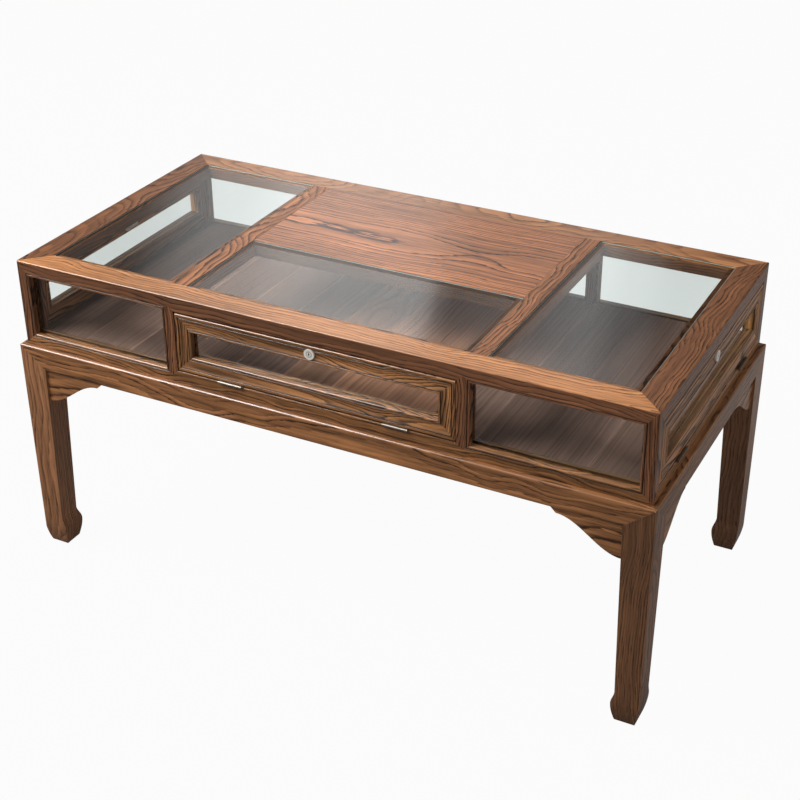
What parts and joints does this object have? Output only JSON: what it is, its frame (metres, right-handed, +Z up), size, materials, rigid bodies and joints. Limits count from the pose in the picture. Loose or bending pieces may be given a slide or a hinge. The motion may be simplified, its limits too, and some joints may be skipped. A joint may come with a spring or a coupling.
{
  "type": "low glass-topped display cabinet table",
  "caption": "Low wooden display table: a glazed case with drop flaps at the front and ends, set on a stand with bracketed hoof-foot legs.",
  "frame": {"origin": "on the floor under the middle of the stand", "axes": "+Z up; -Y is the front, where the middle flap is; +X is to the right, seen from the front"},
  "size_m": [1.2, 0.6, 0.59],
  "materials": {
    "top_wood": "satin, open ash-like grain, walnut-brown stain",
    "panel_wood": "satin, open cathedral grain, walnut-brown stain",
    "case_wood": "satin, open grain, dark walnut-brown stain",
    "flap_wood": "satin, open grain, walnut-brown stain",
    "stand_wood": "satin, open grain, dark walnut-brown stain",
    "floor_wood": "satin, greyish brown boards",
    "clear_glass": "clear, polished",
    "steel": "bright plated"
  },
  "bodies": {
    "cabinet": {"leg_front_left": "stand_wood", "leg_front_right": "stand_wood", "leg_back_left": "stand_wood", "leg_back_right": "stand_wood", "apron_front": "stand_wood", "apron_right": "stand_wood", "apron_back": "stand_wood", "apron_left": "stand_wood", "long_brackets": "stand_wood", "end_brackets": "stand_wood", "stand_bearers": "stand_wood", "top_rail_front": "top_wood", "top_rail_right": "top_wood", "top_rail_back": "top_wood", "top_rail_left": "top_wood", "cross_rail_left": "top_wood", "cross_rail_right": "top_wood", "top_panel": "panel_wood", "panel_bearer": "top_wood", "top_glass_left": "clear_glass", "top_glass_middle": "clear_glass", "top_glass_right": "clear_glass", "post_front_left": "case_wood", "post_front_right": "case_wood", "post_back_left": "case_wood", "post_back_right": "case_wood", "front_mid_posts": "case_wood", "back_mid_posts": "case_wood", "base_rail_front": "case_wood", "base_rail_right": "case_wood", "base_rail_back": "case_wood", "base_rail_left": "case_wood", "floor_boards": "floor_wood", "floor_battens": "floor_wood", "window_glass": "clear_glass", "window_strips": "case_wood", "flap_stops": "case_wood", "hinge_case_leaves": "steel", "hinge_pins": "steel"},
    "front_flap": {"front_flap_rails": "flap_wood", "front_flap_stiles": "flap_wood", "front_flap_glass": "clear_glass", "front_flap_strips": "flap_wood", "front_flap_leaves": "steel", "front_lock_body": "steel"},
    "front_lock": {"front_lock_plug": "steel"},
    "right_flap": {"right_flap_rails": "flap_wood", "right_flap_stiles": "flap_wood", "right_flap_glass": "clear_glass", "right_flap_strips": "flap_wood", "right_flap_leaves": "steel", "right_lock_body": "steel"},
    "right_lock": {"right_lock_plug": "steel"},
    "left_flap": {"left_flap_rails": "flap_wood", "left_flap_stiles": "flap_wood", "left_flap_glass": "clear_glass", "left_flap_strips": "flap_wood", "left_flap_leaves": "steel", "left_lock_body": "steel"},
    "left_lock": {"left_lock_plug": "steel"}
  },
  "joints": [
    {"name": "front_flap_hinge", "type": "hinge", "parent": "cabinet", "child": "front_flap", "pos_m": [0, -0.293, 0.4507], "axis": [1, 0, 0], "range_deg": [0, 150]},
    {"name": "front_lock_turn", "type": "hinge", "parent": "front_flap", "child": "front_lock", "pos_m": [0, -0.28, 0.545], "axis": [0, 1, 0], "range_deg": [0, 90]},
    {"name": "right_flap_hinge", "type": "hinge", "parent": "cabinet", "child": "right_flap", "pos_m": [0.593, 0, 0.4507], "axis": [0, 1, 0], "range_deg": [0, 150]},
    {"name": "right_lock_turn", "type": "hinge", "parent": "right_flap", "child": "right_lock", "pos_m": [0.58, 0, 0.545], "axis": [-1, 0, 0], "range_deg": [0, 90]},
    {"name": "left_flap_hinge", "type": "hinge", "parent": "cabinet", "child": "left_flap", "pos_m": [-0.593, 0, 0.4507], "axis": [0, -1, 0], "range_deg": [0, 150]},
    {"name": "left_lock_turn", "type": "hinge", "parent": "left_flap", "child": "left_lock", "pos_m": [-0.58, 0, 0.545], "axis": [1, 0, 0], "range_deg": [0, 90]}
  ]
}
